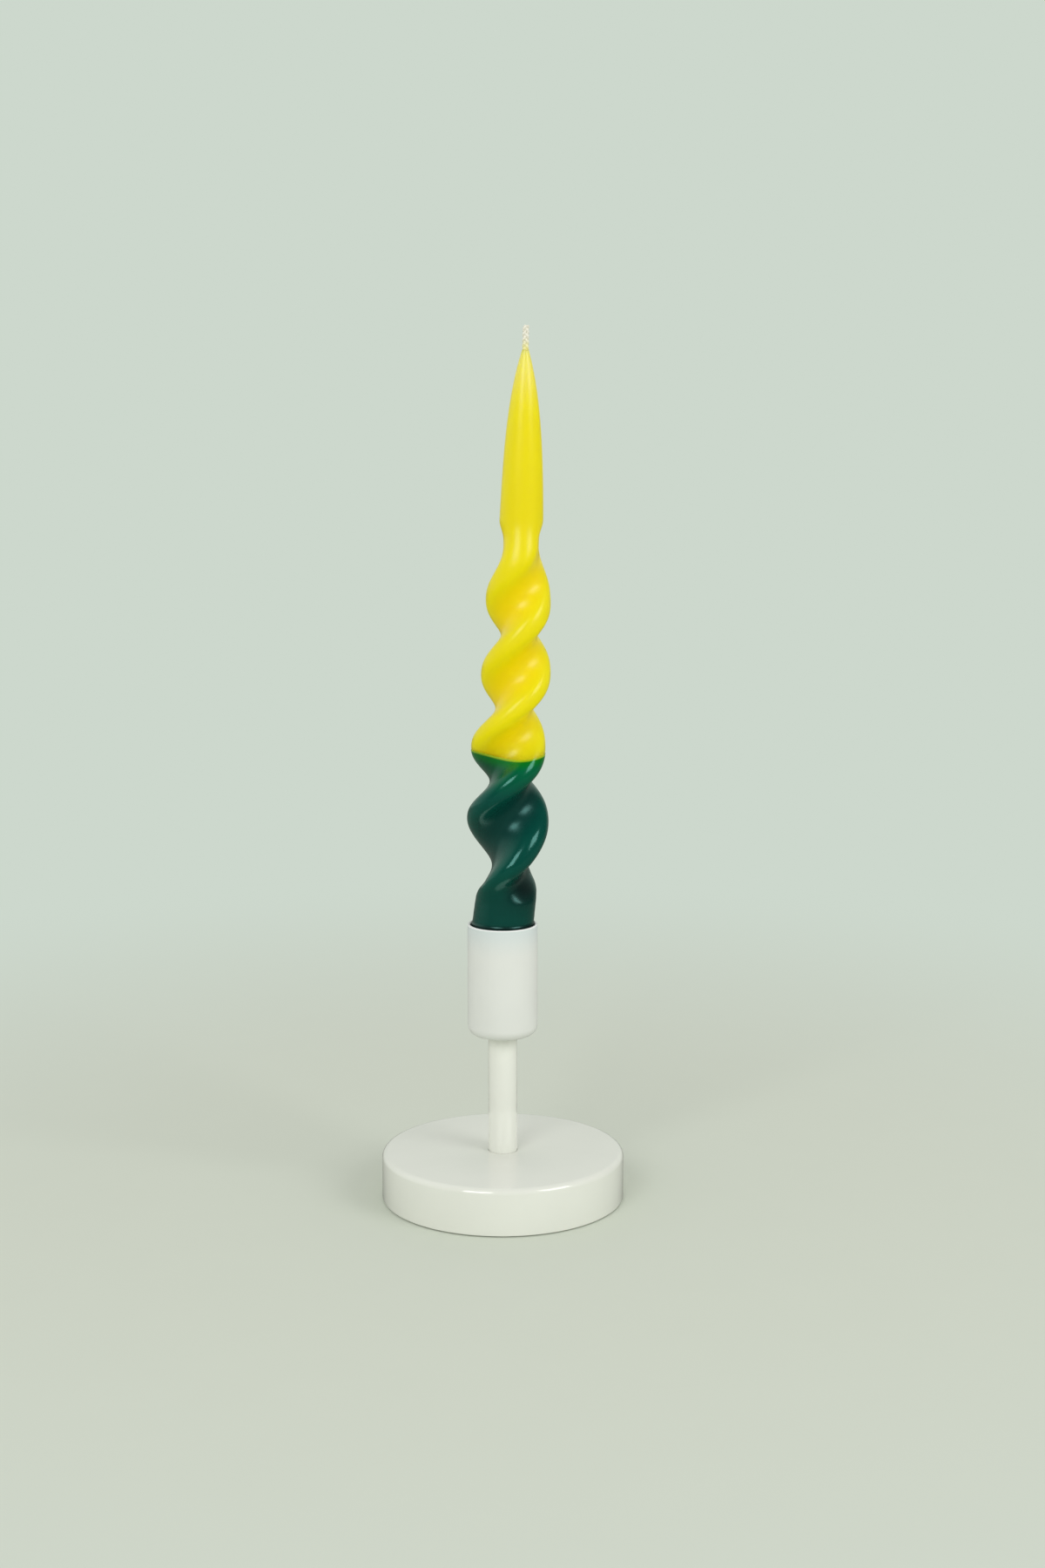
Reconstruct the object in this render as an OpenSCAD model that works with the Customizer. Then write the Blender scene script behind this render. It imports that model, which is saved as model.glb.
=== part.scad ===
// Twisted taper candle standing in a candlestick: a round foot, a stem and a thin-walled cup.
// Millimetres, +Z up, origin at the middle of the foot's underside, front towards -Y.

/* [Foot] */
// Diameter of the foot
base_d = 84; // [70:1:110]
// Thickness of the foot
base_h = 16.1; // [14:0.1:24]
// Rounding of the foot's upper edge
base_round = 2; // [0.5:0.1:4]
// Rounding of the foot's lower edge
base_under_round = 0.8; // [0.3:0.1:1.5]

/* [Foot pad] */
// Distance from the foot's edge to the pad
pad_margin = 5; // [3:0.5:12]
// Thickness of the pad
pad_t = 1.6; // [1:0.1:2.5]
// Height of the pad that stands out below the foot
pad_proud = 0.4; // [0.2:0.1:0.8]
// Rounding of the pad's lower edge
pad_round = 0.2; // [0.1:0.05:0.4]

/* [Stem] */
// Diameter of the stem
stem_d = 10; // [9:0.5:14]
// Length of the stem between the foot and the cup
stem_h = 41.5; // [34:0.5:150]
// Depth to which the stem is let into the foot and into the cup
stem_seat = 4; // [2:0.5:5]
// Chamfer at both ends of the stem
stem_chamfer = 0.4; // [0.2:0.1:0.8]

/* [Cup] */
// Height of the cup
cup_h = 39; // [32:0.5:50]
// Thickness of the cup's floor under the socket
cup_floor = 14; // [12:0.5:18]
// Thickness of the cup's wall
cup_wall = 1; // [0.6:0.1:2]
// Rounding of the cup's lower edge
cup_corner = 3.5; // [0.5:0.5:5]
// Rounding of the rim's outer edge
rim_round = 0.4; // [0.2:0.05:0.5]
// Rounding where the socket's wall meets its floor
socket_round = 0.6; // [0.2:0.1:0.8]

/* [Screws] */
// Nominal diameter of both screws
screw_d = 5; // [3:0.5:6]
// Length of each screw that goes into the stem
screw_grip = 12; // [8:0.5:14]
// Depth of each tapped hole past the screw's end
tap_extra = 2; // [1:0.5:3]
// Head diameter of the screw in the foot
base_head_d = 8.5; // [7:0.5:10]
// Head height of the screw in the foot
base_head_h = 5; // [3:0.5:6]
// Key width across flats of the screw in the foot
base_key = 4; // [2.5:0.5:5]
// Head diameter of the screw in the cup
cup_head_d = 9.5; // [7.5:0.5:10.5]
// Head height of the screw in the cup
cup_head_h = 2.8; // [2:0.1:3.5]
// Key width across flats of the screw in the cup
cup_key = 3; // [2:0.5:4]
// Depth by which each head lies below the face it is sunk into
head_sink = 0.4; // [0.2:0.1:1]

/* [Fits] */
// Play of the candle in the cup, all round
candle_play = 0.45; // [0.3:0.05:0.7]
// Play of the stem in its seats, all round
seat_play = 0.05; // [0.03:0.01:0.1]
// Play of a screw in its clearance hole and of its head in its recess, all round
screw_play = 0.25; // [0.1:0.05:0.5]
// Play of a screw in its tapped hole, all round
thread_play = 0.03; // [0.02:0.01:0.1]
// Film between the wax layers and around the wick
bond = 0.02; // [0.01:0.01:0.05]

/* [Candle] */
// Length of the wax from the butt to the tip
candle_len = 218; // [190:1:280]
// Diameter of the yellow butt, without its green coat
butt_d = 20.3; // [18:0.1:24]
// Rounding of the butt's lower edge
butt_round = 1; // [0.8:0.1:2]
// Length of the round taper above the twist
taper_len = 55.3; // [40:0.1:75]
// Diameter of the taper where it leaves the twist
shoulder_d = 14.6; // [12:0.1:17]
// Length in which the taper swells out below the tip
taper_swell = 22; // [14:0.5:40]
// Wax left round the wick at the tip
tip_wall = 0.15; // [0.1:0.05:0.6]
// Sideways lean of the tip
lean = 7.8; // [0:0.1:10]

/* [Flat band] */
// Height above the rim at which the flat-rolled band begins
press_rise = 7.5; // [5:0.5:12]
// Length over which the butt thins into the band
press_blend_low = 9; // [6:0.1:20]
// Length over which the band thickens into the taper
press_blend_top = 6.7; // [4:0.1:12]
// Length over which the butt widens into the band
spread_blend_low = 16; // [10:0.5:24]
// Length over which the band narrows into the taper
spread_blend_top = 16; // [8:0.5:24]
// Width of the band at its lower end
band_low_w = 28.9; // [24:0.1:32]
// Width of the band at its upper end
band_top_w = 19.9; // [17:0.1:24]
// Thickness of the band at its lower end
band_low_t = 13; // [11:0.1:16]
// Thickness of the band at its upper end
band_top_t = 11.7; // [9:0.1:13]
// Flatness of the band's faces, where 2 is an ellipse
face_flat = 5.2; // [2:0.1:8]
// Length of the neck above the butt, where the band is pressed harder
neck_len = 30; // [16:0.5:40]
// Thickness that the neck loses
neck_pinch = 3.5; // [0:0.1:4.5]
// Width that the neck gains
neck_spread = 3; // [0:0.1:4]
// Flatness that the neck's faces gain
neck_flat = 2; // [0:0.1:4]

/* [Twist] */
// Height in which the band makes one full turn
turn_pitch = 49.7; // [40:0.1:90]
// Length over which the turning gathers pace above the butt
turn_blend_low = 8; // [4:0.5:30]
// Length over which the turning dies away below the taper
turn_blend_top = 22; // [10:0.5:30]
// Distance from the taper down to where the turning stops
turn_stop = 2.4; // [0:0.1:6]
// Direction of the band's width at its upper end
top_angle = 93.8; // [0:0.1:180]
// Angle by which the neck falls short of a steady twist
slack_turn = 50; // [0:1:70]
// Height above the rim at which the twist is slackest
slack_rise = 8; // [0:0.5:20]
// Length over which the slack is taken up
slack_len = 28; // [16:0.5:45]
// Sideways waver of the band at each half turn
waver = 0.3; // [0:0.05:0.8]

/* [Green dip] */
// Height of the dip line above the rim
dip_rise = 58.8; // [30:0.1:75]
// Height of the wave in the dip line
dip_wave = 0.9; // [0:0.1:1.5]
// Height by which the dip line stands higher on the left than in the middle
dip_tilt = 0.5; // [0:0.05:1]
// Thickness of the green coat
coat_t = 0.4; // [0.3:0.05:0.8]
// Thickness of the coat at the dip line
coat_edge_t = 0.12; // [0.08:0.02:0.25]
// Length over which the coat thins out towards the dip line
coat_feather = 8; // [4:0.5:16]
// Distance by which the coat's lip stands out over the cup's rim
lip_out = 0.6; // [0.1:0.05:1]
// Gap between the rim and the lip
lip_gap = 0.2; // [0.15:0.05:0.5]
// Height in which the lip runs out into the coat
lip_rise = 4; // [2:0.5:8]

/* [Wick] */
// Diameter of the wick
wick_d = 1.9; // [1.2:0.1:2.4]
// Length of wick above the tip
wick_free = 8; // [4:0.5:15]

/* [Hidden] */
$fn = 96;

// Heights, from the table up
base_top = pad_proud + base_h;
stem_foot = base_top - stem_seat;
cup_bottom = base_top + stem_h;
stem_head = cup_bottom + stem_seat;
socket_bottom = cup_bottom + cup_floor;
rim_top = cup_bottom + cup_h;

// Sizes that follow from the fits
pad_d = base_d - 2 * pad_margin;
pad_recess_d = pad_d + 2 * screw_play;
socket_d = butt_d + 2 * (bond + coat_t + candle_play);
cup_d = socket_d + 2 * cup_wall;
seat_d = stem_d + 2 * seat_play;
hole_d = screw_d + 2 * screw_play;
tap_d = screw_d + 2 * thread_play;
tap_len = screw_grip + tap_extra;
drill_point = tap_d / 2 * tan(31);
base_head_seat = pad_t + head_sink + base_head_h;
cup_head_seat = socket_bottom - head_sink - cup_head_h;
key_share = 0.6;
screw_tip = 0.5;
cut = 1;

// Heights along the candle, from its butt up
rim_s = rim_top - socket_bottom;
lip_s = rim_s + lip_gap;
press_s = rim_s + press_rise;
slack_s = rim_s + slack_rise;
dip_s = rim_s + dip_rise;
taper_s = candle_len - taper_len;
turn_s = taper_s - turn_stop;
wick_hole_r = wick_d / 2 + bond;
tip_d = 2 * (wick_hole_r + tip_wall);

// The candle's sideways path: share of the height above the rim, share of the lean
lean_path = [[0.02, 0], [0.045, 0.21], [0.1, 0.25], [0.2, 0.27], [0.32, 0.27], [0.45, 0.65], [0.6, 0.74],
    [0.75, 0.86], [1, 1], [1.2, 1.1]];
lean_blend = 0.015;
waver_phase = 154;
dip_reach = 12;

// Facets of the candle: points round the wax and the wick, and rings between the heights above
wax_sides = 36;
wick_sides = 9;
butt_rings = 3;
lip_edge = 0.05;
lip_shares = [0, lip_edge, 0.25, 0.5, 0.75];
dip_rings = 27;
twist_rings = 44;
taper_rings = 12;
wick_rings = 4;
levels = concat(
    [for (i = [0:butt_rings - 1]) butt_round * (1 - cos(90 * i / butt_rings))],
    [for (i = [0:butt_rings - 1]) butt_round + (lip_s - butt_round) * i / butt_rings],
    [for (share = lip_shares) lip_s + lip_rise * share],
    [for (i = [0:dip_rings - 1]) lip_s + lip_rise + (dip_s - lip_s - lip_rise) * i / dip_rings],
    [for (i = [0:twist_rings - 1]) dip_s + (taper_s - dip_s) * i / twist_rings],
    [for (i = [0:taper_rings]) candle_len - taper_len * pow(1 - i / taper_rings, 1.4)]
);
top_level = len(levels) - 1;
dip_level = 2 * butt_rings + len(lip_shares) + dip_rings;

function ease(x) = let (t = min(max(x, 0), 1)) t * t * (3 - 2 * t);

// Integral of ease(x)
function ease_run(x) = x <= 0 ? 0 : x >= 1 ? x - 0.5 : pow(x, 3) - pow(x, 4) / 2;

function mix(from, to, share) = from + (to - from) * share;

// How far the section at height s is rolled out, from 0, round, to 1, in thickness and in width
function rolled(s, top, low) = ease((taper_s - s) / top) * ease((s - press_s) / low);
function thinned(s) = rolled(s, press_blend_top, press_blend_low);
function widened(s) = rolled(s, spread_blend_top, spread_blend_low);

// Diameter of the round candle at height s
function taper_d(s) = mix(tip_d, shoulder_d,
    (1 - exp((s - candle_len) / taper_swell)) / (1 - exp(-taper_len / taper_swell)));
function body_d(s) = mix(butt_d, shoulder_d, max(s - rim_s, 0) / (taper_s - rim_s));
function edge_drop(s) = s >= butt_round ? 0
    : butt_round - sqrt(pow(butt_round, 2) - pow(butt_round - s, 2));
function round_d(s) = s > taper_s ? taper_d(s) : body_d(s) - 2 * edge_drop(s);

// Direction of the section's width at height s
function turn(s) = let (
    past_stop = ease_run((turn_s - s) / turn_blend_top) * turn_blend_top,
    x = (s - press_s) / turn_blend_low,
    gathering = (ease_run(x) - x + 0.5) * turn_blend_low,
    slack = slack_turn * (1 - ease((s - slack_s) / slack_len))
) top_angle - 360 / turn_pitch * (past_stop - gathering) + slack;

// Middle of the section at height s
function drift(s) = let (share = (s - rim_s) / (candle_len - rim_s))
    lean * ([for (k = [-2:2]) lookup(share + k * lean_blend, lean_path)] * [1, 1, 1, 1, 1]) / 5;
function middle(s) = [drift(s) + waver * widened(s) * cos(2 * turn(s) + waver_phase), 0,
    socket_bottom + s];

// Point on the wax at height s and angle t, with the section grown by extra all round:
// two flat faces and two round edges
function wax_point(s, t, extra) = let (
    share = min(max((s - press_s) / (taper_s - press_s), 0), 1),
    neck = ease(1 - (s - press_s) / neck_len),
    band_w = mix(band_low_w, band_top_w, share) + neck_spread * neck,
    band_t = mix(band_low_t, band_top_t, share) - neck_pinch * neck,
    half_w = mix(round_d(s), band_w, widened(s)) / 2 + extra,
    half_t = mix(round_d(s), band_t, thinned(s)) / 2 + extra,
    power = mix(2, face_flat + neck_flat * neck, widened(s)),
    u = half_w * cos(t),
    v = half_t * sign(sin(t)) * sqrt(1 - pow(abs(cos(t)), power)),
    a = turn(s)
) middle(s) + [u * cos(a) - v * sin(a), u * sin(a) + v * cos(a), 0];

// Height of one grid point: the rings near the dip line bend to follow its wave
function dip_shift(t) = let (a = turn(dip_s) + t) dip_wave * cos(2 * a) - dip_tilt * cos(a);
function grid_height(level, t) = let (s = levels[level])
    s + dip_shift(t) * ease(1 - abs(s - dip_s) / dip_reach);
function wax_ring(level, extra) = [for (k = [0:wax_sides - 1]) let (t = 360 * k / wax_sides)
    wax_point(grid_height(level, t), t, extra)];
function wick_ring(s, r) = [for (k = [0:wick_sides - 1]) let (a = turn(s) + 360 * k / wick_sides)
    middle(s) + [r * cos(a), r * sin(a), 0]];

// Wax squeezed out over the rim, and the coat's thickness with it
function lip_at(s) = let (rise = (s - lip_s) / lip_rise)
    rise <= 0 || rise >= 1 ? 0 : lip_out * pow(1 - rise, 2) * min(rise / lip_edge, 1);
function coat_at(level) = let (s = levels[level])
    mix(coat_edge_t, coat_t, ease((dip_s - s) / coat_feather)) + lip_at(s);

// Heights of the wick's rings inside the wax: every second ring of the wax, and the tip
wick_levels = concat([for (i = [0:2:top_level - 1]) levels[i]], [candle_len]);

// Faces of a tube whose rings follow each other in the list of points
function tube_faces(first, rings, sides, outward) = [
    for (r = [0:rings - 2], k = [0:sides - 1]) let (
        a = first + r * sides + k,
        b = first + r * sides + (k + 1) % sides
    ) each outward ? [[a, a + sides, b + sides], [a, b + sides, b]]
        : [[a, b + sides, a + sides], [a, b, b + sides]]
];

// Faces of a flat ring between an outer loop and an inner one with as many points or a whole share
function ring_faces(outer, outer_n, inner, inner_n, upward) = let (
    ratio = outer_n / inner_n,
    faces = [for (m = [0:inner_n - 1]) let (
        here = inner + m,
        next = inner + (m + 1) % inner_n,
        last = outer + ratio * m + ratio - 1,
        after = outer + (ratio * m + ratio) % outer_n
    ) each concat(
        [for (k = [0:1:ratio - 2]) [here, outer + ratio * m + k, outer + ratio * m + k + 1]],
        [[here, last, next], [next, last, after]]
    )]
) upward ? [for (f = faces) [f[0], f[2], f[1]]] : faces;

// Profile of a turned piece, from its axis out, with its lower and upper outer edges rounded
module turned_profile(r, h, lower_round, upper_round) {
    translate([0, lower_round]) square([r, h - lower_round - upper_round]);
    square([r - lower_round, h]);
    square([r - upper_round, h]);
    translate([r - lower_round, lower_round]) circle(lower_round);
    translate([r - upper_round, h - upper_round]) circle(upper_round);
}

module turned(r, h, lower_round, upper_round) {
    rotate_extrude() intersection() {
        turned_profile(r, h, lower_round, upper_round);
        square([r, h]);
    }
}

// Blind tapped hole going up from z = 0, with its drill point
module tapped_hole() {
    translate([0, 0, -cut]) cylinder(d = tap_d, h = tap_len + cut);
    translate([0, 0, tap_len]) cylinder(d1 = tap_d, d2 = 0, h = drill_point);
}

// Screw standing on its tip, with the seat of its head at z = 0 and its key hole above
module screw(shank_len, head_d, head_h, key) {
    difference() {
        cylinder(d = head_d, h = head_h);
        translate([0, 0, head_h * (1 - key_share)])
            cylinder(d = key / cos(30), h = head_h, $fn = 6);
    }
    translate([0, 0, screw_tip - shank_len]) cylinder(d = screw_d, h = shank_len - screw_tip);
    translate([0, 0, -shank_len]) cylinder(d1 = screw_d - 2 * screw_tip, d2 = screw_d, h = screw_tip);
}

module base() {
    color([0.89, 0.9, 0.87]) difference() {
        translate([0, 0, pad_proud]) turned(base_d / 2, base_h, base_under_round, base_round);
        translate([0, 0, pad_proud - cut]) cylinder(d = pad_recess_d, h = pad_t - pad_proud + cut);
        cylinder(d = base_head_d + 2 * screw_play, h = base_head_seat);
        cylinder(d = hole_d, h = base_top);
        translate([0, 0, stem_foot]) cylinder(d = seat_d, h = stem_seat + cut);
    }
}

module foot_pad() {
    color([0.32, 0.32, 0.31]) turned(pad_d / 2, pad_t, pad_round, pad_round);
}

module stem() {
    stem_len = stem_head - stem_foot;
    color([0.89, 0.9, 0.87]) translate([0, 0, stem_foot]) difference() {
        union() {
            translate([0, 0, stem_chamfer]) cylinder(d = stem_d, h = stem_len - 2 * stem_chamfer);
            cylinder(d1 = stem_d - 2 * stem_chamfer, d2 = stem_d, h = stem_chamfer);
            translate([0, 0, stem_len - stem_chamfer])
                cylinder(d1 = stem_d, d2 = stem_d - 2 * stem_chamfer, h = stem_chamfer);
        }
        tapped_hole();
        translate([0, 0, stem_len]) mirror([0, 0, 1]) tapped_hole();
    }
}

module cup() {
    color([0.89, 0.9, 0.87]) difference() {
        translate([0, 0, cup_bottom]) turned(cup_d / 2, cup_h, cup_corner, rim_round);
        translate([0, 0, socket_bottom]) turned(socket_d / 2, cup_h, socket_round, socket_round);
        translate([0, 0, cup_head_seat])
            cylinder(d = cup_head_d + 2 * screw_play, h = socket_bottom - cup_head_seat + cut);
        translate([0, 0, cup_bottom]) cylinder(d = hole_d, h = cup_floor);
        translate([0, 0, cup_bottom - cut]) cylinder(d = seat_d, h = stem_seat + cut);
    }
}

module base_screw() {
    color([0.7, 0.71, 0.72]) translate([0, 0, base_head_seat]) mirror([0, 0, 1])
        screw(stem_foot + screw_grip - base_head_seat, base_head_d, base_head_h, base_key);
}

module cup_screw() {
    color([0.7, 0.71, 0.72]) translate([0, 0, cup_head_seat])
        screw(cup_head_seat - stem_head + screw_grip, cup_head_d, cup_head_h, cup_key);
}

// The twisted loft, with the wick's channel through it
module wax_core() {
    rings = top_level + 1;
    channel = rings * wax_sides;
    channel_rings = len(wick_levels);
    skin = [for (level = [0:top_level]) each wax_ring(level, 0)];
    bore = [for (s = wick_levels) each wick_ring(s, wick_hole_r)];
    top_loop = top_level * wax_sides;
    top_bore = channel + (channel_rings - 1) * wick_sides;
    color([0.93, 0.86, 0.06]) polyhedron(concat(skin, bore), concat(
        tube_faces(0, rings, wax_sides, true),
        tube_faces(channel, channel_rings, wick_sides, false),
        ring_faces(0, wax_sides, channel, wick_sides, false),
        ring_faces(top_loop, wax_sides, top_bore, wick_sides, true)
    ), convexity = 6);
}

// The green skin: the same loft again, from the butt to the dip line, outside and inside
module dip_coat() {
    rings = dip_level + 1;
    inside = rings * wax_sides;
    top_loop = dip_level * wax_sides;
    outer_skin = [for (level = [0:dip_level]) each wax_ring(level, bond + coat_at(level))];
    inner_skin = [for (level = [0:dip_level]) each wax_ring(level, bond)];
    color([0.02, 0.32, 0.25]) polyhedron(concat(outer_skin, inner_skin), concat(
        tube_faces(0, rings, wax_sides, true),
        tube_faces(inside, rings, wax_sides, false),
        ring_faces(0, wax_sides, inside, wax_sides, false),
        ring_faces(top_loop, wax_sides, inside + top_loop, wax_sides, true)
    ), convexity = 6);
}

module wick() {
    heights = concat(wick_levels, [for (i = [1:wick_rings]) candle_len + wick_free * i / wick_rings]);
    rings = len(heights);
    last = (rings - 1) * wick_sides;
    color([0.93, 0.91, 0.84]) polyhedron([for (s = heights) each wick_ring(s, wick_d / 2)], concat(
        tube_faces(0, rings, wick_sides, true),
        [[for (k = [0:wick_sides - 1]) k]],
        [[for (k = [0:wick_sides - 1]) last + wick_sides - 1 - k]]
    ), convexity = 4);
}

base();
foot_pad();
stem();
cup();
base_screw();
cup_screw();
wax_core();
dip_coat();
wick();
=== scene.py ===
import math

import bmesh
import bpy
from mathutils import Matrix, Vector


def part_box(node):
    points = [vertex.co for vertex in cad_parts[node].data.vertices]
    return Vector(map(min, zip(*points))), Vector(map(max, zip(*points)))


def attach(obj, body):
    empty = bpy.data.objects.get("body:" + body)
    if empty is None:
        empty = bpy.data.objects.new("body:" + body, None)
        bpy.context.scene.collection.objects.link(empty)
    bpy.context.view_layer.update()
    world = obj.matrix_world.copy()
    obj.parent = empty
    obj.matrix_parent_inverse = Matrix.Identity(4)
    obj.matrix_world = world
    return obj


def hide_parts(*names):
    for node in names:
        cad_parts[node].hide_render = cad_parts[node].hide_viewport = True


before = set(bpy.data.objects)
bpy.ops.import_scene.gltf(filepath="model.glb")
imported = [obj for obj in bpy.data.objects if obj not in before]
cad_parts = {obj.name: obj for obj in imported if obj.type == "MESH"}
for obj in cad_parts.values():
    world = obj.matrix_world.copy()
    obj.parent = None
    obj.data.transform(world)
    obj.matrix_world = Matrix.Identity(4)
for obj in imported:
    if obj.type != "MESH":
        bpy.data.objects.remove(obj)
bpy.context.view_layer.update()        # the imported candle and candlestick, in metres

mm = 0.001


# small helpers for working by hand

samePlace = 1e-6     # metres
sameRadius = 1e-5
flatShare = 0.9      # a normal this upright belongs to an end face
smoothAngle = 32     # degrees, sharper edges stay sharp


def clearSelection():
    if bpy.context.object and bpy.context.object.mode != "OBJECT":
        bpy.ops.object.mode_set(mode="OBJECT")
    bpy.ops.object.select_all(action="DESELECT")


def startEditing(piece, selectMode="EDGE"):
    bpy.context.view_layer.objects.active = piece
    bpy.ops.object.mode_set(mode="EDIT")
    bpy.ops.mesh.select_mode(type=selectMode)
    bpy.ops.mesh.select_all(action="DESELECT")


def stopEditing():
    bpy.ops.object.mode_set(mode="OBJECT")


def pick(piece, kind, test):
    # select the edges or the faces that pass a test
    mesh = bmesh.from_edit_mesh(piece.data)
    bpy.ops.mesh.select_all(action="DESELECT")
    for item in getattr(mesh, kind):
        if test(item):
            item.select_set(True)
    bmesh.update_edit_mesh(piece.data)


def edgeAt(z, radius):
    # edges of the ring at this height and distance from the axis
    def onRing(vertex):
        fromAxis = math.hypot(vertex.co.x, vertex.co.y)
        return abs(vertex.co.z - z) < samePlace and abs(fromAxis - radius) < sameRadius
    return lambda edge: all(onRing(vertex) for vertex in edge.verts)


def flatFaceAt(z, upward):
    def test(face):
        return face.normal.z * upward > flatShare and abs(face.calc_center_median().z - z) < samePlace
    return test


def isUpright(edge):
    low, high = edge.verts
    sideways = math.hypot(low.co.x - high.co.x, low.co.y - high.co.y)
    return abs(low.co.z - high.co.z) > samePlace and sideways < samePlace


def addRod(name, radius, bottom, top, sides):
    clearSelection()
    bpy.ops.mesh.primitive_cylinder_add(vertices=sides, radius=radius, depth=top - bottom,
                                        location=(0, 0, (bottom + top) / 2))
    piece = bpy.context.object
    piece.name = name
    bpy.ops.object.transform_apply(location=True, rotation=True, scale=True)
    return piece


def bevelEdge(piece, z, radius, size, steps):
    pick(piece, "edges", edgeAt(z, radius))
    bpy.ops.mesh.bevel(offset=size, offset_type="OFFSET", segments=steps, profile=0.5, affect="EDGES")


def sinkFace(piece, z, upward, fromRadius, toRadius, depth):
    # inset the round end face to a smaller circle and push that in
    pick(piece, "faces", flatFaceAt(z, upward))
    bpy.ops.mesh.inset(thickness=fromRadius - toRadius, depth=0)
    bpy.ops.mesh.extrude_region_move(TRANSFORM_OT_translate={"value": (0, 0, -upward * depth)})


def markPoints(piece, name, valueAt):
    # a value at each point of the piece, for its material to read
    marks = piece.data.attributes.new(name, "FLOAT", "POINT")
    for vertex in piece.data.vertices:
        marks.data[vertex.index].value = valueAt(vertex.co)


def settle(piece, material, body, slot, *nodes):
    piece.data.materials.clear()
    piece.data.materials.append(material)
    clearSelection()
    piece.select_set(True)
    bpy.context.view_layer.objects.active = piece
    bpy.ops.object.shade_smooth_by_angle(angle=math.radians(smoothAngle))
    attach(piece, body)
    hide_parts(*nodes)
    clearSelection()


# camera at the photograph's place: 50 mm on a 36 mm long side, looking down a little

cameraSet = {"place": (6.85 * mm, -729.8 * mm, 262.4 * mm), "pitch": 9.107, "lens": 50, "sensor": 36,
             "clipStart": 0.01}


def addCamera():
    clearSelection()
    tilt = math.radians(90 - cameraSet["pitch"])
    bpy.ops.object.camera_add(location=cameraSet["place"], rotation=(tilt, 0, 0))
    camera = bpy.context.object
    camera.name = "photoCamera"
    camera.data.lens = cameraSet["lens"]
    camera.data.sensor_width = cameraSet["sensor"]
    camera.data.dof.use_dof = False
    camera.data.clip_start = cameraSet["clipStart"]
    bpy.context.scene.camera = camera


addCamera()
print("camera placed")


# material helpers, where an owner is a material or the studio's sky

noiseSpan = (0.3, 0.7)   # most of a noise lies between these


def newMaterial(name):
    material = bpy.data.materials.new(name)
    material.use_nodes = True
    return material, material.node_tree.nodes["Principled BSDF"]


def setSockets(node, values):
    for key, value in values.items():
        node.inputs[key].default_value = value


def addNode(owner, kind, settings=None, sockets=None):
    node = owner.node_tree.nodes.new(kind)
    for key, value in (settings or {}).items():
        setattr(node, key, value)
    setSockets(node, sockets or {})
    return node


def join(owner, fromSocket, toSocket):
    owner.node_tree.links.new(fromSocket, toSocket)


def objectPlace(material):
    return addNode(material, "ShaderNodeTexCoord").outputs["Object"]


def pointValue(material, name):
    return addNode(material, "ShaderNodeAttribute", {"attribute_name": name}).outputs["Fac"]


def heightOf(owner, place):
    split = addNode(owner, "ShaderNodeSeparateXYZ")
    join(owner, place, split.inputs["Vector"])
    return split.outputs["Z"]


def mapTo(owner, value, fromLow, fromHigh, toLow, toHigh):
    node = addNode(owner, "ShaderNodeMapRange", {"interpolation_type": "SMOOTHSTEP"},
                   {"From Min": fromLow, "From Max": fromHigh, "To Min": toLow, "To Max": toHigh})
    join(owner, value, node.inputs["Value"])
    return node.outputs["Result"]


def fadeUp(material, place, startZ, span):
    # 0 below and 1 above a span in millimetres, counted from this height
    low, high = (startZ + x * mm for x in span)
    return mapTo(material, heightOf(material, place), low, high, 0, 1)


def addNoise(material, place, scale, detail, roughness=0.5):
    noise = addNode(material, "ShaderNodeTexNoise", None,
                    {"Scale": scale, "Detail": detail, "Roughness": roughness})
    join(material, place, noise.inputs["Vector"])
    return noise.outputs["Fac"]


def mottle(material, place, noise, low, high):
    # a noise stretched to run from low to high
    return mapTo(material, addNoise(material, place, *noise), *noiseSpan, low, high)


def multiply(material, first, second):
    node = addNode(material, "ShaderNodeMath", {"operation": "MULTIPLY"})
    join(material, first, node.inputs[0])
    join(material, second, node.inputs[1])
    return node.outputs["Value"]


def mixColours(material, share, first, second):
    node = addNode(material, "ShaderNodeMix", {"data_type": "RGBA"})
    join(material, share, node.inputs["Factor"])
    for socket, colour in ((node.inputs["A"], first), (node.inputs["B"], second)):
        if isinstance(colour, tuple):
            socket.default_value = (*colour, 1)
        else:
            join(material, colour, socket)
    return node.outputs["Result"]


def mixShaders(owner, share, first, second):
    node = addNode(owner, "ShaderNodeMixShader")
    for k, source in enumerate((share, first, second)):
        join(owner, source, node.inputs[k])
    return node.outputs["Shader"]


def addBump(material, shader, height, strength, depth):
    bump = addNode(material, "ShaderNodeBump", None, {"Strength": strength, "Distance": depth * mm})
    join(material, height, bump.inputs["Height"])
    join(material, bump.outputs["Normal"], shader.inputs["Normal"])


def addGrain(material, shader, place, grain):
    addBump(material, shader, addNoise(material, place, *grain["noise"]), grain["strength"], grain["depth"])


# candle sizes in millimetres and degrees, heights from the butt up, as in the CAD model

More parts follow.
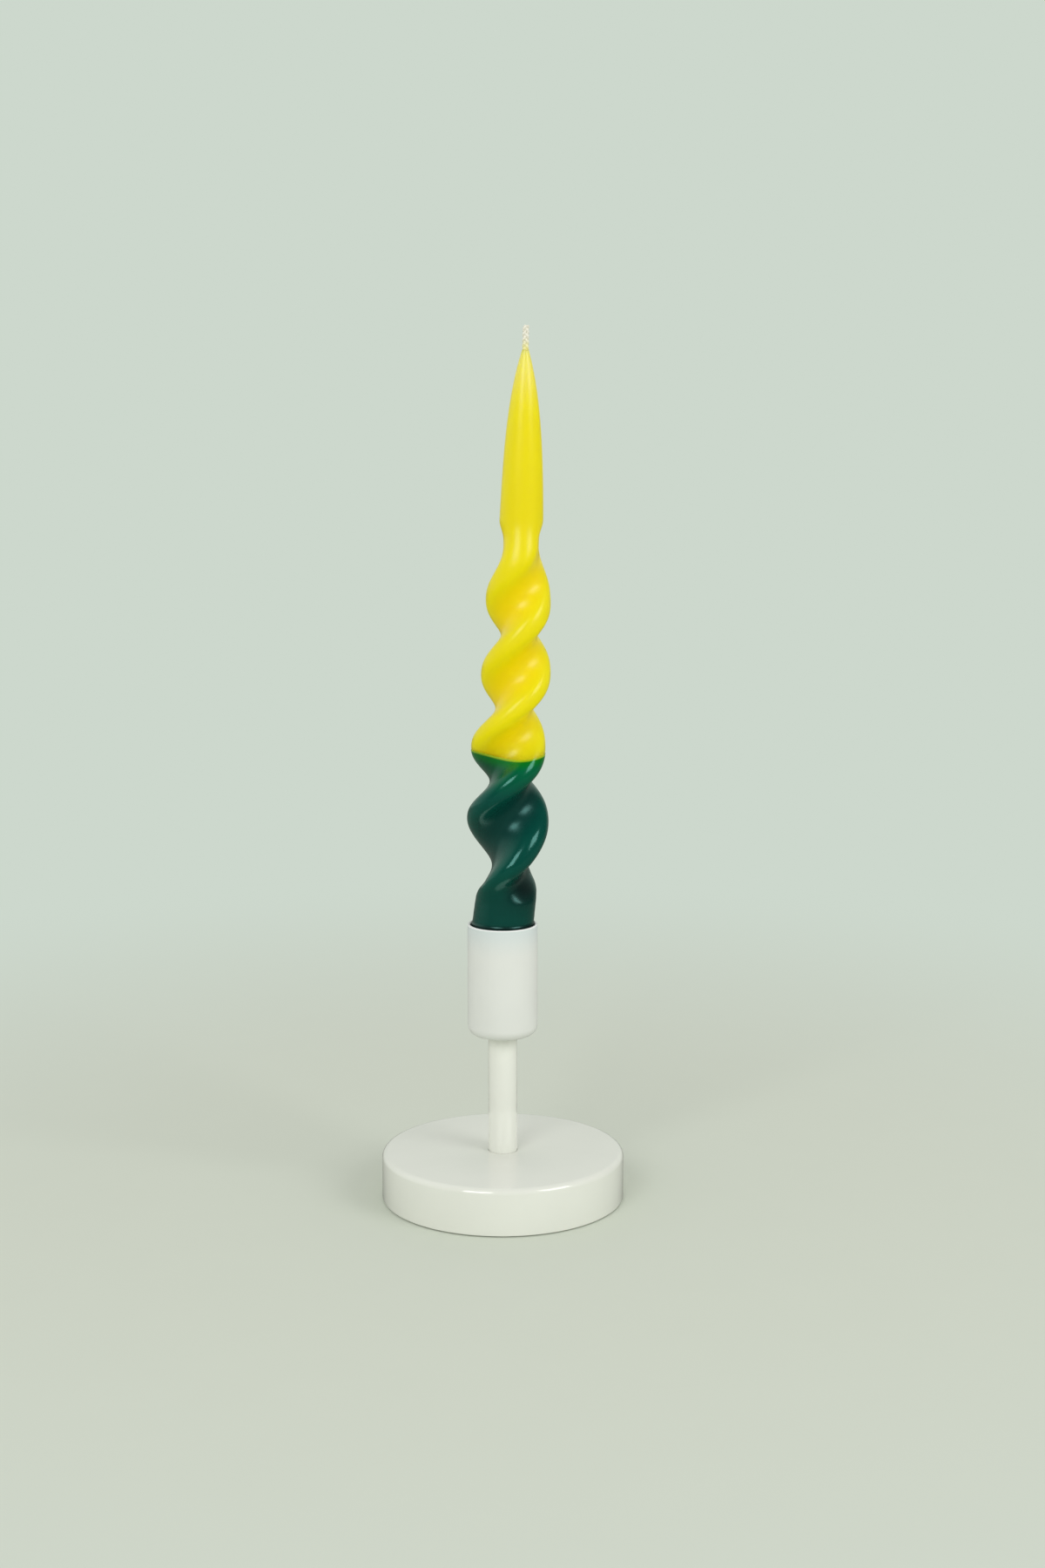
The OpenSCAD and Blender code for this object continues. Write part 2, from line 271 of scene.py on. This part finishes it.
candle = {
    # round butt, round taper and the lean of the whole
    "buttD": 20.3, "buttRound": 1, "shoulderD": 14.6, "tipD": 2.24, "taperLen": 55.3, "taperSwell": 22,
    "lean": 7.8, "leanBlend": 0.015,
    # the band between them, where the rolling pin pressed it thin and spread it wide
    "pressRise": 7.5, "pressLow": 9, "pressTop": 6.7, "spreadLow": 16, "spreadTop": 16,
    "lowW": 28.9, "topW": 19.9, "lowT": 13, "topT": 11.7, "faceFlat": 5.2,
    # the neck above the cup, thinner and wider still
    "neckLen": 30, "neckPinch": 3.5, "neckSpread": 3, "neckFlat": 2,
    # the twist, which gathers below, stops before the taper and is slack at the neck
    "pitch": 49.7, "turnLow": 8, "turnTop": 22, "turnStop": 2.4, "topAngle": 93.8,
    "slack": 50, "slackRise": 8, "slackLen": 28, "waver": 0.3, "waverPhase": 154,
}
leanPath = [(0.02, 0), (0.045, 0.21), (0.1, 0.25), (0.2, 0.27), (0.32, 0.27), (0.45, 0.65), (0.6, 0.74),
            (0.75, 0.86), (1, 1), (1.2, 1.1)]  # share of the height above the rim, share of the lean
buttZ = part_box("wax_core")[0].z
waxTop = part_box("wax_core")[1].z
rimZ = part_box("cup")[1].z
waxLen = (waxTop - buttZ) / mm
rimS = (rimZ - buttZ) / mm
taperS = waxLen - candle["taperLen"]
pressS = rimS + candle["pressRise"]


def ease(x):
    x = min(max(x, 0), 1)
    return x * x * (3 - 2 * x)


def easeRun(x):
    # how far ease has summed up to x
    if x <= 0:
        return 0
    return x - 0.5 if x >= 1 else x ** 3 - x ** 4 / 2


def blendTo(low, high, share):
    return low + (high - low) * share


def alongPath(path, share):
    for (x0, y0), (x1, y1) in zip(path, path[1:]):
        if share < x1:
            return y0 if share < x0 else blendTo(y0, y1, (share - x0) / (x1 - x0))
    return path[-1][1]


def rolled(s, top, low):
    # 0 where the candle is still round, 1 where the rolling pin has pressed it
    return ease((taperS - s) / top) * ease((s - pressS) / low)


def pressed(s):
    return rolled(s, candle["pressTop"], candle["pressLow"])


def spread(s):
    return rolled(s, candle["spreadTop"], candle["spreadLow"])


def turnAt(s):
    c = candle
    pastStop = easeRun((taperS - c["turnStop"] - s) / c["turnTop"]) * c["turnTop"]
    x = (s - pressS) / c["turnLow"]
    gathering = (easeRun(x) - x + 0.5) * c["turnLow"]
    slack = c["slack"] * (1 - ease((s - rimS - c["slackRise"]) / c["slackLen"]))
    return math.radians(c["topAngle"] - 360 / c["pitch"] * (pastStop - gathering) + slack)


def middleAt(s):
    # how far the candle's middle has leaned over, smoothed along its path
    share = (s - rimS) / (waxLen - rimS)
    around = [share + k * candle["leanBlend"] for k in range(-2, 3)]
    drift = sum(alongPath(leanPath, x) for x in around) / len(around) * candle["lean"]
    sway = candle["waver"] * spread(s) * math.cos(2 * turnAt(s) + math.radians(candle["waverPhase"]))
    return drift + sway


def roundAt(s):
    c = candle
    if s > taperS:
        fromTip = 1 - math.exp((s - waxLen) / c["taperSwell"])
        swell = fromTip / (1 - math.exp(-c["taperLen"] / c["taperSwell"]))
        return blendTo(c["tipD"], c["shoulderD"], swell)
    drop = 0
    if s < c["buttRound"]:
        drop = c["buttRound"] - math.sqrt(max(c["buttRound"] ** 2 - (c["buttRound"] - s) ** 2, 0))
    return blendTo(c["buttD"], c["shoulderD"], max(s - rimS, 0) / (taperS - rimS)) - 2 * drop


def waxPoint(s, t, grow):
    # the rolled-flat and twisted candle: place on its skin at height s and angle t round the section
    c = candle
    share = min(max((s - pressS) / (taperS - pressS), 0), 1)
    neck = ease(1 - (s - pressS) / c["neckLen"])
    bandW = blendTo(c["lowW"], c["topW"], share) + c["neckSpread"] * neck
    bandT = blendTo(c["lowT"], c["topT"], share) - c["neckPinch"] * neck
    halfW = blendTo(roundAt(s), bandW, spread(s)) / 2 + grow
    halfT = blendTo(roundAt(s), bandT, pressed(s)) / 2 + grow
    power = blendTo(2, c["faceFlat"] + c["neckFlat"] * neck, spread(s))
    u = halfW * math.cos(t)
    v = halfT * math.copysign(math.sqrt(max(1 - abs(math.cos(t)) ** power, 0)), math.sin(t))
    a = turnAt(s)
    x = middleAt(s) + u * math.cos(a) - v * math.sin(a)
    y = u * math.sin(a) + v * math.cos(a)
    return x * mm, y * mm, buttZ + s * mm


def addWaxRod(name, length, sides, cutsInTurn):
    # a plain rod as wide as the butt, its upright edges cut into many even rings
    rod = addRod(name, candle["buttD"] / 2 * mm, buttZ, buttZ + length * mm, sides)
    startEditing(rod)
    for cuts in cutsInTurn:
        pick(rod, "edges", isUpright)
        bpy.ops.mesh.subdivide(number_cuts=cuts)
    stopEditing()
    return rod


def onRod(co):
    # height above the butt in millimetres and angle round the rod, before it is twisted
    return (co.z - buttZ) / mm, math.atan2(co.y, co.x)


# yellow wax

coreSet = {"sides": 96, "cuts": (3, 80), "hollowFrom": 0.2, "hollowRun": 0.75}
yellowLook = {
    # ridge and hollow colours are painted light and shade: lighter in the hollows where shade falls, darker
    # on the ridges where light falls
    "ridge": (0.745, 0.632, 0.002), "hollow": (0.86, 0.68, 0.001),
    "patch": (0.77, 0.665, 0.003), "patchNoise": (55, 4), "patchShare": 0.5,
    "tip": (0.73, 0.60, 0.15), "tipSpan": (-22, 1),    # millimetres from the wax's top
    "gloss": (0.28, 0.305), "smearNoise": (140, 5, 0.6), "shine": 0.5, "tint": (0.85, 1.0, 0.9),
    "bleed": 0.014, "bleedReach": (1.0, 1.0, 0.15),    # metres, and the share of it for red, green and blue
}
waxGrain = {"noise": (320, 4), "strength": 0.12, "depth": 0.6}    # fine bumps on both waxes


def makeYellowWax():
    look = yellowLook
    material, shader = newMaterial("yellowWax")
    place = objectPlace(material)
    # painted light and shade: the hollows lighter and the ridges darker
    counterShaded = mixColours(material, pointValue(material, "hollow"), look["ridge"], look["hollow"])
    patches = mottle(material, place, look["patchNoise"], 0, look["patchShare"])
    body = mixColours(material, patches, counterShaded, look["patch"])
    nearTip = fadeUp(material, place, waxTop, look["tipSpan"])
    join(material, mixColours(material, nearTip, body, look["tip"]), shader.inputs["Base Color"])
    smear = mottle(material, place, look["smearNoise"], *look["gloss"])
    join(material, smear, shader.inputs["Roughness"])
    setSockets(shader, {"Subsurface Weight": 1, "Subsurface Radius": look["bleedReach"],
                        "Subsurface Scale": look["bleed"], "Specular IOR Level": look["shine"],
                        "Specular Tint": (*look["tint"], 1)})
    addGrain(material, shader, place, waxGrain)
    return material


def hollowAt(s, t):
    # 0 on the two ridges and where the candle is round, 1 along the middle of a pressed face
    towardsRidge = (abs(math.cos(t)) - coreSet["hollowFrom"]) / coreSet["hollowRun"]
    return (1 - ease(towardsRidge)) * pressed(s)


def makeWaxCore():
    core = addWaxRod("waxCore", waxLen, coreSet["sides"], coreSet["cuts"])
    markPoints(core, "hollow", lambda co: hollowAt(*onRod(co)))
    for vertex in core.data.vertices:
        vertex.co = waxPoint(*onRod(vertex.co), 0)
    settle(core, makeYellowWax(), "candle", "yellow_wax", "wax_core")


makeWaxCore()
print("yellow wax body rolled and twisted")


# green dip coat, in millimetres, with a lower lip over the rim than the CAD solid's

coatSet = {
    "dipRise": 58.8, "dipWave": 0.9, "dipTilt": 0.5, "dipReach": 12,
    "thick": 0.42, "thickAtLine": 0.14, "feather": 8, "wall": 0.1,
    "lipOut": 0.6, "lipGap": 0.2, "lipRise": 0.9, "lipStart": 0.05,
    "sides": 96, "cuts": (3, 64), "buttShade": 0.5,
}
# painted shade, nearly black, in the scoop at the neck and along the rim
scoopRimShadeSet = {"rise": 13, "reach": 5.5, "rimRise": 0.3, "rimReach": 0.8,    # millimetres above the rim
           "side": -90, "arc": 45}    # degrees round the section
greenLook = {
    "edge": (0.36, 0.50, 0.006), "thin": (0.002, 0.16, 0.008),
    # the hollow colours here and on the next line are painted shade, darker than the ridge colours
    "freshRidge": (0.0, 0.125, 0.045), "freshHollow": (0.0, 0.068, 0.02),
    # the nearly black colour on the next line is painted shade for the scoop and the rim
    "ridge": (0.002, 0.064, 0.046), "hollow": (0.001, 0.036, 0.029), "pool": (0.004, 0.008, 0.008),
    "toThin": (0.2, 0.9), "toFresh": (0.6, 4.5), "toDeep": (3, 14),    # millimetres below the dip line
    "cloud": (0.8, 1), "cloudNoise": (90, 4), "smear": (0.98, 1.02), "smearNoise": (160, 5, 0.6),
    "gloss": (0.17, 0.3), "dullSpan": (0.2, 0.85), "shine": 0.78, "tint": (0.42, 1.0, 0.92),
}
dipS = rimS + coatSet["dipRise"]


def makeGreenWax():
    look = greenLook
    material, shader = newMaterial("greenWax")
    place = objectPlace(material)
    below = pointValue(material, "belowLine")
    hollow = pointValue(material, "hollow")
    toThin = mapTo(material, below, *look["toThin"], 0, 1)
    toFresh = mapTo(material, below, *look["toFresh"], 0, 1)
    toDeep = mapTo(material, below, *look["toDeep"], 0, 1)
    # painted shade: the hollows darker than the ridges
    fresh = mixColours(material, hollow, look["freshRidge"], look["freshHollow"])
    deep = mixColours(material, hollow, look["ridge"], look["hollow"])
    shade = mixColours(material, toDeep, fresh, deep)
    # painted shade: nearly black in the scoop and along the rim
    withScoopRimShade = mixColours(material, pointValue(material, "pool"), shade, look["pool"])
    cloud = mottle(material, place, look["cloudNoise"], *look["cloud"])
    tinted = mixColours(material, cloud, look["hollow"], withScoopRimShade)
    coated = mixColours(material, toFresh, look["thin"], tinted)
    join(material, mixColours(material, toThin, look["edge"], coated), shader.inputs["Base Color"])
    # pressed faces, and the painted-shade scoop and rim, shine less than ridges
    shine = mapTo(material, pointValue(material, "dull"), *look["dullSpan"], *look["gloss"])
    smear = mottle(material, place, look["smearNoise"], *look["smear"])
    join(material, multiply(material, shine, smear), shader.inputs["Roughness"])
    setSockets(shader, {"Specular IOR Level": look["shine"], "Specular Tint": (*look["tint"], 1)})
    addGrain(material, shader, place, waxGrain)
    return material


def shadedHollowAt(s, t):
    # painted shade: darker colour in the hollows, and less so round the butt
    return hollowAt(s, t) + coatSet["buttShade"] * (1 - pressed(s))


def scoopRimShadeAt(s, t):
    # 1 where painted shade lies nearly black: the scoop on the right of the neck, and along the rim
    fromSide = (t - math.radians(scoopRimShadeSet["side"]) + math.pi) % (2 * math.pi) - math.pi
    around = fromSide / math.radians(scoopRimShadeSet["arc"])
    rise = (s - rimS - scoopRimShadeSet["rise"]) / scoopRimShadeSet["reach"]
    atRim = (s - rimS - scoopRimShadeSet["rimRise"]) / scoopRimShadeSet["rimReach"]
    return math.exp(-rise ** 2 - around ** 2) + math.exp(-atRim ** 2)


def lipAt(s):
    # wax squeezed out over the cup's rim
    rise = (s - rimS - coatSet["lipGap"]) / coatSet["lipRise"]
    return coatSet["lipOut"] * (1 - rise) ** 2 * min(rise / coatSet["lipStart"], 1) if 0 < rise < 1 else 0


def dipShift(t):
    a = turnAt(dipS) + t
    return coatSet["dipWave"] * math.cos(2 * a) - coatSet["dipTilt"] * math.cos(a)


def coatPoint(s, t):
    below = dipS - s
    grow = blendTo(coatSet["thickAtLine"], coatSet["thick"], ease(below / coatSet["feather"])) + lipAt(s)
    return waxPoint(s + dipShift(t) * ease(1 - below / coatSet["dipReach"]), t, grow)


def makeDipCoat():
    coat = addWaxRod("dipCoat", dipS, coatSet["sides"], coatSet["cuts"])
    startEditing(coat, "FACE")
    pick(coat, "faces", lambda face: abs(face.normal.z) > flatShare)
    bpy.ops.mesh.delete(type="ONLY_FACE")   # the coat is a skin, open at both ends
    stopEditing()
    markPoints(coat, "belowLine", lambda co: dipS - onRod(co)[0])
    # painted shade marks: the hollows and the butt, then the scoop and the rim
    markPoints(coat, "hollow", lambda co: shadedHollowAt(*onRod(co)))
    markPoints(coat, "pool", lambda co: scoopRimShadeAt(*onRod(co)))
    markPoints(coat, "dull", lambda co: max(shadedHollowAt(*onRod(co)), scoopRimShadeAt(*onRod(co))))
    for vertex in coat.data.vertices:
        vertex.co = coatPoint(*onRod(vertex.co))
    wall = coat.modifiers.new("wall", "SOLIDIFY")
    wall.thickness = coatSet["wall"] * mm
    wall.offset = -1    # inwards
    bpy.context.view_layer.objects.active = coat
    bpy.ops.object.modifier_apply(modifier="wall")
    settle(coat, makeGreenWax(), "candle", "green_wax", "dip_coat")


makeDipCoat()
print("green coat dipped")


# braided wick, sizes in millimetres

wickSet = {"strands": 3, "strandR": 0.52, "roundSteps": 3, "halfWidth": 0.62, "halfDepth": 0.36,
           "pitch": 5.2, "stepsPerTurn": 20, "sink": 6}
cottonLook = {"dim": (0.72, 0.68, 0.55), "bright": (0.86, 0.84, 0.76), "fibreNoise": (2600, 3),
              "waxed": (0.84, 0.78, 0.30), "waxedSpan": (-0.5, 4.5),    # millimetres from the wax's top
              "roughness": 0.75, "sheen": 0.25, "bump": 0.5, "bumpDepth": 0.2}


def makeCotton():
    look = cottonLook
    material, shader = newMaterial("cotton")
    place = objectPlace(material)
    fibres = addNoise(material, place, *look["fibreNoise"])
    thread = mixColours(material, mapTo(material, fibres, *noiseSpan, 0, 1), look["dim"], look["bright"])
    clean = fadeUp(material, place, waxTop, look["waxedSpan"])
    join(material, mixColours(material, clean, look["waxed"], thread), shader.inputs["Base Color"])
    setSockets(shader, {"Roughness": look["roughness"], "Sheen Weight": look["sheen"]})
    addBump(material, shader, fibres, look["bump"], look["bumpDepth"])
    return material


def addStrand(k, steps):
    # each strand swings from side to side and over and under the others
    curve = bpy.data.curves.new(f"strand{k}", "CURVE")
    curve.dimensions = "3D"
    curve.bevel_depth = wickSet["strandR"] * mm
    curve.bevel_resolution = wickSet["roundSteps"]
    curve.use_fill_caps = True
    spline = curve.splines.new("POLY")
    spline.points.add(steps)
    for i in range(steps + 1):
        turns = i / wickSet["stepsPerTurn"]
        s = waxLen - wickSet["sink"] + turns * wickSet["pitch"]
        a = 2 * math.pi * (turns + k / wickSet["strands"])
        x = middleAt(s) + wickSet["halfWidth"] * math.sin(a)
        y = wickSet["halfDepth"] * math.sin(2 * a)
        spline.points[i].co = (x * mm, y * mm, buttZ + s * mm, 1)
    strand = bpy.data.objects.new(f"strand{k}", curve)
    bpy.context.collection.objects.link(strand)
    return strand


def makeWick():
    clearSelection()
    freeLen = (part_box("wick")[1].z - buttZ) / mm - waxLen
    turns = (wickSet["sink"] + freeLen) / wickSet["pitch"]
    steps = int(turns * wickSet["stepsPerTurn"])
    strands = [addStrand(k, steps) for k in range(wickSet["strands"])]
    for strand in strands:
        strand.select_set(True)
    bpy.context.view_layer.objects.active = strands[0]
    bpy.ops.object.convert(target="MESH")
    bpy.ops.object.join()
    wick = bpy.context.object
    wick.name = "wickBraid"
    settle(wick, makeCotton(), "candle", "cotton", "wick")


makeWick()
print("wick braided")


# white candlestick, sizes in millimetres

paintLook = {"shade": 0.98, "cloudNoise": (45, 4), "smearNoise": (120, 5, 0.6), "polish": 0.4,
             "grain": {"noise": (350, 2), "strength": 0.02, "depth": 0.4}}
bodyPaint = {"name": "whitePaint", "tone": (0.802, 0.817, 0.743), "shine": 1.0, "gloss": (0.15, 0.2)}
# the cup is the foot's white paint, painted darker and cooler as shade
cupPaint = {"name": "cupPaint", "tone": (0.725, 0.74, 0.70), "shine": 0.3, "gloss": (0.46, 0.54),
            # rim tone: painted reflection of the green wax; rim edge colour: painted highlight
            "rim": (0.625, 0.69, 0.68), "rimSpan": (-11, 1.5), "rimHighlight": (0.86, 0.88, 0.86)}
edgeShare = 0.99     # the share of a rounding that is marked as edge, short of the ring it ends in


def makeWhitePaint(paint):
    material, shader = newMaterial(paint["name"])
    place = objectPlace(material)
    edge = pointValue(material, "edge")
    cloud = mottle(material, place, paintLook["cloudNoise"], 0, 1)
    shade = tuple(x * paintLook["shade"] for x in paint["tone"])
    colour = mixColours(material, cloud, shade, paint["tone"])
    if "rim" in paint:
        # painted reflection of the green wax: a cooler, darker tone up at the rim, and a painted highlight
        # along its white edge
        nearRim = fadeUp(material, place, rimZ, paint["rimSpan"])
        colour = mixColours(material, nearRim, colour, paint["rim"])
        colour = mixColours(material, edge, colour, paint["rimHighlight"])
    join(material, colour, shader.inputs["Base Color"])
    smear = mottle(material, place, paintLook["smearNoise"], *paint["gloss"])
    polish = mapTo(material, edge, 0, 1, 1, paintLook["polish"])   # paint flows out smoother over an edge
    join(material, multiply(material, smear, polish), shader.inputs["Roughness"])
    setSockets(shader, {"Specular IOR Level": paint["shine"]})
    addGrain(material, shader, place, paintLook["grain"])
    return material


whitePaint = makeWhitePaint(bodyPaint)

# the foot's lower edge is sharper than the CAD solid's
footSet = {"sides": 192, "topRound": 2, "topSteps": 8, "underRound": 0.3, "underSteps": 4,
           "padRecessR": 37.25, "padRecess": 1.2,
           "seatR": 5.05, "seat": 4, "seatRound": 0.25, "seatSteps": 3}


def makeFoot():
    low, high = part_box("base")
    radius = high.x
    seatR = footSet["seatR"] * mm
    foot = addRod("foot", radius, low.z, high.z, footSet["sides"])
    startEditing(foot, "FACE")
    sinkFace(foot, low.z, -1, radius, footSet["padRecessR"] * mm, footSet["padRecess"] * mm)
    sinkFace(foot, high.z, 1, radius, seatR, footSet["seat"] * mm)
    bpy.ops.mesh.select_mode(type="EDGE")
    bevelEdge(foot, high.z, radius, footSet["topRound"] * mm, footSet["topSteps"])
    bevelEdge(foot, low.z, radius, footSet["underRound"] * mm, footSet["underSteps"])
    bevelEdge(foot, high.z, seatR, footSet["seatRound"] * mm, footSet["seatSteps"])
    stopEditing()
    inside = footSet["topRound"] * mm * edgeShare
    markPoints(foot, "edge", lambda co: math.hypot(co.x, co.y) > radius - inside and co.z > high.z - inside)
    settle(foot, whitePaint, "holder", "white_paint", "base")


makeFoot()

stemSet = {"sides": 96, "chamfer": 0.4, "steps": 2}


def makeStem():
    low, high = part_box("stem")
    stem = addRod("stemRod", high.x, low.z, high.z, stemSet["sides"])
    startEditing(stem)
    for z in (low.z, high.z):
        bevelEdge(stem, z, high.x, stemSet["chamfer"] * mm, stemSet["steps"])
    stopEditing()
    settle(stem, whitePaint, "holder", "white_paint", "stem")


makeStem()

cupSet = {"sides": 192, "wall": 1, "lowRound": 3.5, "lowSteps": 10, "rimRound": 0.4, "rimSteps": 4,
          "seatR": 5.05, "seat": 4}


def makeCup():
    low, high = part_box("cup")
    radius = high.x
    socketR = radius - cupSet["wall"] * mm
    cup = addRod("cupShell", radius, low.z, high.z, cupSet["sides"])
    startEditing(cup, "FACE")
    sinkFace(cup, high.z, 1, radius, socketR, high.z - buttZ)
    sinkFace(cup, low.z, -1, radius, cupSet["seatR"] * mm, cupSet["seat"] * mm)
    bpy.ops.mesh.select_mode(type="EDGE")
    bevelEdge(cup, low.z, radius, cupSet["lowRound"] * mm, cupSet["lowSteps"])
    for rimR in (radius, socketR):
        bevelEdge(cup, high.z, rimR, cupSet["rimRound"] * mm, cupSet["rimSteps"])
    stopEditing()
    inside = cupSet["rimRound"] * mm * edgeShare
    markPoints(cup, "edge", lambda co: co.z > high.z - inside)
    settle(cup, makeWhitePaint(cupPaint), "holder", "white_paint", "cup")


makeCup()
print("candlestick turned and painted")


# screws and pad keep their CAD shape

steelLook = {"dim": (0.42, 0.42, 0.43), "bright": (0.62, 0.62, 0.63), "stretch": (1, 1, 30),
             "lineNoise": (400, 4), "gloss": (0.28, 0.42)}
foamLook = {"cell": (0.05, 0.05, 0.048), "wall": (0.10, 0.10, 0.097), "cellScale": 900,
            "roughness": 0.9, "bump": 0.4, "bumpDepth": 0.3}


def makeSteel():
    material, shader = newMaterial("platedSteel")
    stretch = addNode(material, "ShaderNodeMapping", None, {"Scale": steelLook["stretch"]})
    join(material, objectPlace(material), stretch.inputs["Vector"])
    lines = addNoise(material, stretch.outputs["Vector"], *steelLook["lineNoise"])
    colour = mixColours(material, lines, steelLook["dim"], steelLook["bright"])
    join(material, colour, shader.inputs["Base Color"])
    gloss = mapTo(material, lines, *noiseSpan, *steelLook["gloss"])
    join(material, gloss, shader.inputs["Roughness"])
    setSockets(shader, {"Metallic": 1})
    return material


def makePadFoam():
    material, shader = newMaterial("padFoam")
    cells = addNode(material, "ShaderNodeTexVoronoi", None, {"Scale": foamLook["cellScale"]})
    join(material, objectPlace(material), cells.inputs["Vector"])
    fromMiddle = cells.outputs["Distance"]
    colour = mixColours(material, fromMiddle, foamLook["cell"], foamLook["wall"])
    join(material, colour, shader.inputs["Base Color"])
    setSockets(shader, {"Roughness": foamLook["roughness"]})
    addBump(material, shader, fromMiddle, foamLook["bump"], foamLook["bumpDepth"])
    return material


def dressNode(name, material):
    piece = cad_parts[name]
    piece.data.materials.clear()
    piece.data.materials.append(material)


steel = makeSteel()
for screwName in ("base_screw", "cup_screw"):
    dressNode(screwName, steel)
dressNode("foot_pad", makePadFoam())
print("screws and pad finished")


# studio in metres: a pale floor that runs out into an even backdrop, two soft lamps in front

studio = {
    "floor": (0.67, 0.715, 0.62), "floorShade": 0.985, "floorNoise": (40, 4),
    "floorR": 8, "floorSides": 128, "backdrop": (0.610, 0.686, 0.610), "fade": (0.12, 0.55),
    # what reflections see of the floor and of the room, from front to back
    "backwards": (-0.55, 0.835, 0), "dimFloor": (0.13, 0.14, 0.12),
    "dimSpan": (-0.05, 0.3), "dimShare": (1, 0.8), "roomSpan": (-0.1, 0.7), "room": (0.02, 0.82),
    # soft light all round, stronger from the sides than from above
    "sky": (1, 1, 0.985), "horizon": 1.2, "zenith": 0.38,
}
lampSet = {"distance": 2.6, "height": 1.2, "power": 16.8, "aimZ": 0.15}
lamps = [{"name": "leftSoftbox", "azimuth": -25, "elevation": 32, "width": 1.15},
         {"name": "rightSoftbox", "azimuth": 55, "elevation": 31, "width": 1.25}]


def towardsBack(owner, place):
    depth = addNode(owner, "ShaderNodeVectorMath", {"operation": "DOT_PRODUCT"})
    join(owner, place, depth.inputs[0])
    depth.inputs[1].default_value = studio["backwards"]
    return depth.outputs["Value"]


def makeFloorPaper():
    material, shader = newMaterial("floorPaper")
    place = objectPlace(material)
    path = addNode(material, "ShaderNodeLightPath")
    flecks = addNoise(material, place, *studio["floorNoise"])
    dim = tuple(x * studio["floorShade"] for x in studio["floor"])
    paper = mixColours(material, flecks, dim, studio["floor"])
    inFront = mapTo(material, towardsBack(material, place), *studio["dimSpan"], *studio["dimShare"])
    mirrored = multiply(material, inFront, path.outputs["Is Glossy Ray"])
    join(material, mixColours(material, mirrored, paper, studio["dimFloor"]), shader.inputs["Base Color"])
    setSockets(shader, {"Roughness": 1, "Specular IOR Level": 0})
    # further out the camera sees the backdrop's own colour
    distance = addNode(material, "ShaderNodeVectorMath", {"operation": "LENGTH"})
    join(material, place, distance.inputs[0])
    far = mapTo(material, distance.outputs["Value"], *studio["fade"], 0, 1)
    seenFar = multiply(material, far, path.outputs["Is Camera Ray"])
    glow = addNode(material, "ShaderNodeEmission", None, {"Color": (*studio["backdrop"], 1), "Strength": 1})
    surface = mixShaders(material, seenFar, shader.outputs["BSDF"], glow.outputs["Emission"])
    join(material, surface, material.node_tree.nodes["Material Output"].inputs["Surface"])
    return material


def makeFloor():
    clearSelection()
    bpy.ops.mesh.primitive_circle_add(vertices=studio["floorSides"], radius=studio["floorR"],
                                      fill_type="NGON")
    floor = bpy.context.object
    floor.name = "studioFloor"
    floor.data.materials.append(makeFloorPaper())
    clearSelection()


def addLamp(lamp):
    clearSelection()
    a, e = math.radians(lamp["azimuth"]), math.radians(lamp["elevation"])
    away = math.cos(e) * lampSet["distance"]
    up = math.sin(e) * lampSet["distance"]
    place = (math.sin(a) * away, -math.cos(a) * away, lampSet["aimZ"] + up)
    bpy.ops.object.light_add(type="AREA", location=place, rotation=(math.radians(90) - e, 0, a))
    light = bpy.context.object
    light.name = lamp["name"]
    light.data.shape = "RECTANGLE"
    light.data.size = lamp["width"]
    light.data.size_y = lampSet["height"]
    light.data.energy = lampSet["power"]
    light.visible_camera = False


def makeSky():
    # the camera sees the backdrop's colour; reflections see it behind the candle and a dim room in front
    world = bpy.data.worlds.new("studioRoom")
    world.use_nodes = True
    path = addNode(world, "ShaderNodeLightPath")
    direction = addNode(world, "ShaderNodeTexCoord").outputs["Generated"]
    behind = mapTo(world, towardsBack(world, direction), *studio["roomSpan"], *studio["room"])
    above = addNode(world, "ShaderNodeMapRange", None,
                    {"To Min": studio["horizon"], "To Max": studio["zenith"]})
    join(world, heightOf(world, direction), above.inputs["Value"])
    light = world.node_tree.nodes["Background"]
    setSockets(light, {"Color": (*studio["sky"], 1)})
    join(world, above.outputs["Result"], light.inputs["Strength"])
    seen = light.outputs["Background"]
    for ray, strength in (("Is Glossy Ray", behind), ("Is Camera Ray", None)):
        backdrop = addNode(world, "ShaderNodeBackground", None, {"Color": (*studio["backdrop"], 1)})
        if strength:
            join(world, strength, backdrop.inputs["Strength"])
        seen = mixShaders(world, path.outputs[ray], seen, backdrop.outputs["Background"])
    join(world, seen, world.node_tree.nodes["World Output"].inputs["Surface"])
    bpy.context.scene.world = world


makeFloor()
for lamp in lamps:
    addLamp(lamp)
makeSky()
bpy.context.scene.view_settings.view_transform = "Standard"
print("studio lit")
